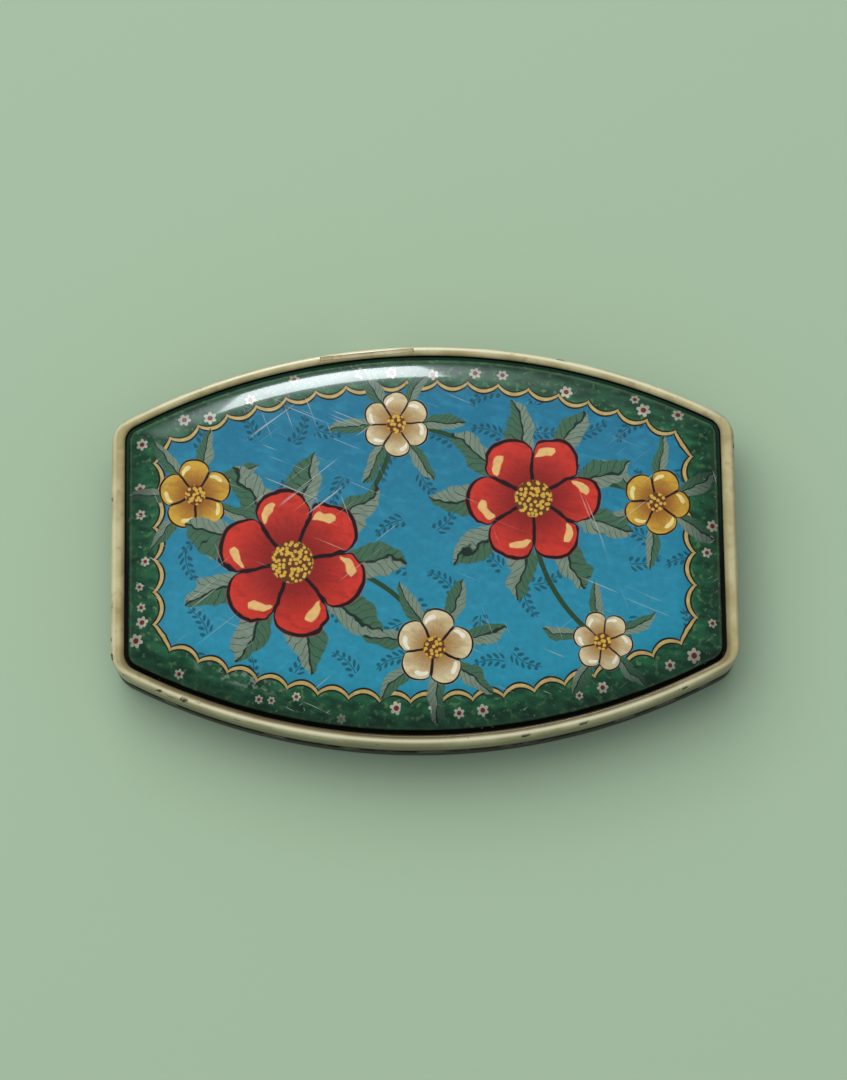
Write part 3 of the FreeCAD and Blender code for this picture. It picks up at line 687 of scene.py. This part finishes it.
def rim_material():
    """Cream enamel on the rim and skirt, chipped along its edges, with painted shade darkening the skirt, hem,
    right end and inner slope and blackening the groove, and a painted highlight on its crest.
    """
    material, g, shader = new_material("rim_cream")
    place = g.place()
    x, y, z = g.split(place)
    wear = g.group("wear")
    insets = g.group("inset", Place=place)
    colour = g.mix(g.step(wear["Cloud"], 0.35, 0.65), ink(178, 166, 114), ink(206, 196, 148))
    stain = g.step(g.noise(place, 0.5, 4.0, stretch=(1.0, 1.0, 0.35)), 0.52, 0.72)
    colour = g.mix(g.math("MULTIPLY", stain, 0.35), colour, ink(134, 116, 74))
    # Painted shade: the skirt darker downwards and its hem near-black. Then a painted highlight on the rim's crest.
    skirt = g.step(z, 17.4, 13.0)
    colour = g.mix(g.math("MULTIPLY", skirt, 0.6), colour, ink(112, 90, 58))
    hem = g.math("MULTIPLY_ADD", wear["Cloud"], 1.5, z)
    colour = g.mix(g.math("MULTIPLY", g.step(hem, 11.4, 9.6), 0.85), colour, ink(44, 34, 26))
    # Painted highlight along the rim's crest, stronger at the front and the rear.
    crest_highlight = g.math("MULTIPLY", g.band(insets["Inset"], 0.75, 0.35, 0.3), g.step(z, 17.6, 18.1))
    highlight_strength = g.math("MULTIPLY_ADD", g.step(g.math("ABSOLUTE", y), 22.0, 40.0), 0.55, 0.3)
    colour = g.mix(g.math("MULTIPLY", crest_highlight, highlight_strength), colour, ink(242, 236, 204))
    # Painted shade on the right end's outer edge and, with some dirt, on the inner slope, most at the front; then
    # the groove painted black as shade.
    right_end_shade = g.math("MULTIPLY", g.step(insets["Inset"], 1.4, 0.4), g.step(x, 62.0, 70.0))
    colour = g.mix(g.math("MULTIPLY", right_end_shade, 0.45), colour, ink(112, 98, 66))
    inner = g.math("MULTIPLY", g.step(insets["Panel"], 0.9, 1.8), g.step(z, 17.0, 17.1))
    # Painted shade with some dirt on the inner slope, stronger towards the front.
    dirt_and_shade = g.math("MULTIPLY_ADD", g.step(y, 30.0, -30.0), 0.35, 0.15)
    dirt_and_shade = g.math("MULTIPLY_ADD", g.step(y, -22.0, -40.0), 0.45, dirt_and_shade)
    colour = g.mix(g.math("MULTIPLY", inner, dirt_and_shade), colour, ink(80, 66, 34))
    # Painted shade: the groove's crease painted black.
    groove = g.math("MULTIPLY", g.step(insets["Panel"], 1.9, 2.1), g.step(z, 18.0, 17.8))
    colour = g.mix(groove, colour, BLACK)
    printed = g.math("MULTIPLY", g.step(insets["Panel"], 2.5, 2.75), g.step(y, -10.0, 20.0))
    colour = g.mix(printed, colour, ink(22, 58, 42))
    # Chips along the edges, more of them at two corners.
    front_left = g.math("MULTIPLY", g.step(x, -25.0, -45.0), g.step(y, -15.0, -30.0))
    rear_right = g.math("MULTIPLY", g.step(x, 50.0, 62.0), g.step(y, 15.0, 28.0))
    worn = g.math("MAXIMUM", front_left, rear_right)
    edge_height = g.math("MULTIPLY_ADD", worn, -0.35, z)
    outer_edge = g.math("MULTIPLY", g.band(edge_height, 17.3, 0.85, 0.3), g.step(insets["Inset"], 1.2, 0.8))
    edge = g.math("MAXIMUM", outer_edge, g.step(z, 9.6, 8.6))
    pits = g.node("TexVoronoi")
    g.feed(pits.inputs["Vector"], g.vector("ADD", place, g.vector("SCALE", g.noise(place, 0.9, 2.0), 1.2)))
    pits.inputs["Scale"].default_value = 0.3
    chance, spread, _ = g.split(pits.outputs["Color"])
    chance = g.math("MULTIPLY_ADD", worn, 0.4, chance)
    from_pit = g.math("SUBTRACT", pits.outputs["Distance"], g.math("MULTIPLY_ADD", spread, 0.3, 0.1))
    ragged = g.math("SUBTRACT", g.noise(place, 1.6, 4.0), 0.5)
    from_pit = g.math("MULTIPLY_ADD", ragged, 0.7, from_pit)
    chip = g.math("MULTIPLY", g.step(from_pit, 0.03, -0.03), g.step(chance, 0.66, 0.68))
    chip = g.math("MULTIPLY", chip, edge)
    colour = g.mix(g.math("MULTIPLY", chip, 0.9), colour, ink(52, 40, 34))
    colour = g.mix(g.math("MULTIPLY", wear["Speck"], 0.5), colour, ink(88, 72, 50))
    g.feed(shader["Base Color"], colour)
    gloss = g.math("MULTIPLY_ADD", wear["Cloud"], 0.2, 0.22)
    dull = g.math("MAXIMUM", groove, g.math("MULTIPLY", chip, 0.5))
    g.feed(shader["Roughness"], g.math("MULTIPLY_ADD", dull, 0.6, gloss))
    g.feed(shader["Coat Weight"], g.math("MULTIPLY_ADD", dull, -0.15, 0.15))
    set_inputs(shader, coat_roughness=0.12, specular_ior_level=0.3)
    height = g.math("MULTIPLY_ADD", chip, -0.8, g.noise(place, 0.9, 2.0))
    add_bump(g, shader, height, 0.25, 0.03)
    return material


def tray_material():
    """Dark brown lacquer on the tray's outside, rubbed to metal along the step and the foot."""
    material, g, shader = new_material("tray_brown")
    place = g.place()
    z = g.split(place)[2]
    wear = g.group("wear")
    colour = g.mix(g.step(wear["Cloud"], 0.35, 0.65), ink(30, 23, 19), ink(54, 42, 35))
    colour = g.mix(g.math("MULTIPLY", wear["Scratch"], 0.5), colour, ink(140, 124, 104))
    edges = g.math("MAXIMUM", g.band(z, 5.75, 0.2, 0.15), g.band(z, 0.35, 0.2, 0.2))
    rubbed = g.math("MULTIPLY", edges, g.step(g.noise(place, 0.14, 7.0), 0.52, 0.62))
    colour = g.mix(g.math("MULTIPLY", rubbed, 0.7), colour, ink(150, 140, 122))
    g.feed(shader["Base Color"], colour)
    g.feed(shader["Metallic"], g.math("MULTIPLY", rubbed, 0.6))
    g.feed(shader["Roughness"], g.math("MULTIPLY_ADD", wear["Cloud"], 0.25, 0.25))
    set_inputs(shader, specular_ior_level=0.2)
    add_bump(g, shader, g.noise(place, 0.7, 3.0), 0.2, 0.03)
    return material


def lacquer_material(name, pale, deep, metallic):
    """Gold-lacquered tinplate with drawing marks, cloudy stains and scratches."""
    material, g, shader = new_material(name)
    place = g.place()
    wear = g.group("wear")
    colour = g.mix(g.step(wear["Cloud"], 0.3, 0.7), deep, pale)
    spangle = g.node("TexVoronoi")
    g.feed(spangle.inputs["Vector"], place)
    spangle.inputs["Scale"].default_value = 0.5
    tone = g.split(spangle.outputs["Color"])[0]
    colour = g.mix(g.math("MULTIPLY", tone, 0.18), colour, ink(246, 226, 176))
    stain = g.step(g.noise(place, 0.28, 5.0), 0.58, 0.68)
    colour = g.mix(g.math("MULTIPLY", stain, 0.22), colour, ink(110, 78, 42))
    colour = g.mix(g.math("MULTIPLY", wear["Scratch"], 0.4), colour, ink(224, 216, 196))
    g.feed(shader["Base Color"], colour)
    g.feed(shader["Roughness"], g.math("MULTIPLY_ADD", g.math("ADD", tone, stain), 0.1, 0.24))
    set_inputs(shader, metallic=metallic, coat_weight=0.3, coat_roughness=0.1)
    marks = g.noise(place, 0.8, 2.0, stretch=(1.0, 1.0, 4.0))
    add_bump(g, shader, marks, 0.2, 0.02)
    return material


def wire_material():
    """Drawn steel wire with lengthwise marks and a little rust."""
    material, g, shader = new_material("wire_steel")
    place = g.place()
    marks = g.noise(g.turned(place, -math.degrees(HINGE_TURN)), 2.0, 3.0, stretch=(0.1, 4.0, 4.0))
    rust = g.step(g.noise(place, 0.6, 4.0), 0.55, 0.7)
    colour = g.mix(marks, ink(138, 134, 128), ink(186, 182, 174))
    g.feed(shader["Base Color"], g.mix(g.math("MULTIPLY", rust, 0.6), colour, ink(104, 66, 42)))
    g.feed(shader["Roughness"], g.math("MULTIPLY_ADD", rust, 0.3, 0.3))
    set_inputs(shader, metallic=0.9)
    add_bump(g, shader, marks, 0.3, 0.02)
    return material


def floor_material():
    """Plain matt floor."""
    material, _, shader = new_material("floor")
    set_inputs(shader, base_color=ink(176, 200, 169), roughness=0.9)
    return material


make_inset_group()
make_wear_group()
make_blossom_group()
make_daisy_group()
make_fern_group()
make_stem_group()
make_print_group()
materials = {
    "rim_cream": rim_material(),
    "lid_print": print_material(),
    "inside_lacquer": lacquer_material("inside_lacquer", ink(230, 202, 132), ink(200, 166, 98), 0.5),
    "tray_brown": tray_material(),
    "strap_gold": lacquer_material("strap_gold", ink(222, 210, 166), ink(176, 160, 116), 0.3),
    "wire_steel": wire_material(),
}

lid = make_lid()
tray = make_tray()
# The rim's slot for the strap's upturned end, and the notch in the hem that the strap goes through.
cut_slot(lid, inset=0.95, thickness=0.95, bottom=17.3, top=20.5)
cut_slot(lid, inset=0.69, thickness=0.43, bottom=6.3, top=10.6)
for piece, node, body, slot in (
        (lid, "lid", "lid", "printed_tinplate"), (tray, "base_tray", "base", "brown_tinplate")):
    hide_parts(node)
    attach(piece, body)
for name, material in (
        ("lid_hinge_strap", "strap_gold"), ("base_hinge_strap", "strap_gold"), ("hinge_wire", "wire_steel")):
    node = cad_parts[name]
    node.data.materials.clear()
    node.data.materials.append(materials[material])

bpy.ops.object.select_all(action="DESELECT")
bpy.ops.mesh.primitive_plane_add(size=4)
floor = bpy.context.object
floor.name = "floor"
floor.data.materials.append(floor_material())

# Camera above the tin, a little to the front, turned and shifted as the photograph's. Lengths are in metres.
TILT, ROLL = math.radians(11.5), math.radians(-0.74)
DISTANCE, AIM_HEIGHT, VIEW_WIDTH, SENSOR_WIDTH = 0.78, 0.014, 0.1944, 36
camera_data = bpy.data.cameras.new("camera")
camera = bpy.data.objects.new("camera", camera_data)
bpy.context.scene.collection.objects.link(camera)
bpy.context.scene.camera = camera
camera.location = (0, -math.sin(TILT) * DISTANCE, AIM_HEIGHT + math.cos(TILT) * DISTANCE)
camera.rotation_euler = (Matrix.Rotation(TILT, 3, "X") @ Matrix.Rotation(ROLL, 3, "Z")).to_euler()
camera_data.sensor_fit = "HORIZONTAL"
camera_data.sensor_width = SENSOR_WIDTH
camera_data.lens = SENSOR_WIDTH * DISTANCE / VIEW_WIDTH
camera_data.shift_x, camera_data.shift_y = -0.0008, 0.0078


def add_light(name, azimuth, elevation, distance, width, height, energy):
    """An area light aimed at the tin. Azimuth 0 is at the rear, and it grows to the left."""
    data = bpy.data.lights.new(name, "AREA")
    data.shape = "RECTANGLE"
    data.size, data.size_y, data.energy = width, height, energy
    light = bpy.data.objects.new(name, data)
    bpy.context.scene.collection.objects.link(light)
    turn, rise = math.radians(azimuth), math.radians(elevation)
    way = Vector((-math.sin(turn) * math.cos(rise), math.cos(turn) * math.cos(rise), math.sin(rise)))
    light.location = way * distance
    light.rotation_euler = way.to_track_quat("Z", "Y").to_euler()
    return light


# The window gives the highlight on the panel, and the softbox and the room give the soft light.
window = add_light("window", azimuth=8.5, elevation=32, distance=1.8, width=0.5, height=0.81, energy=18)
window.data.color = (0.9, 0.97, 1.0)
window.visible_diffuse = False
softbox = add_light("softbox", azimuth=32, elevation=60, distance=2.0, width=2.2, height=2.2, energy=31)
softbox.visible_glossy = False
world = bpy.data.worlds.new("room")
bpy.context.scene.world = world
world.use_nodes = True
room = Graph(world.node_tree)
ray = room.node("LightPath").outputs
backdrop = room.mix(ray["Is Glossy Ray"], (0.9, 0.95, 1.0, 1), (0.25, 0.27, 0.28, 1))
background = world.node_tree.nodes["Background"].inputs
room.feed(background["Color"], room.mix(ray["Is Camera Ray"], backdrop, (0.9, 1.25, 0.87, 1)))
background["Strength"].default_value = 0.4
bpy.context.scene.view_settings.view_transform = "Standard"
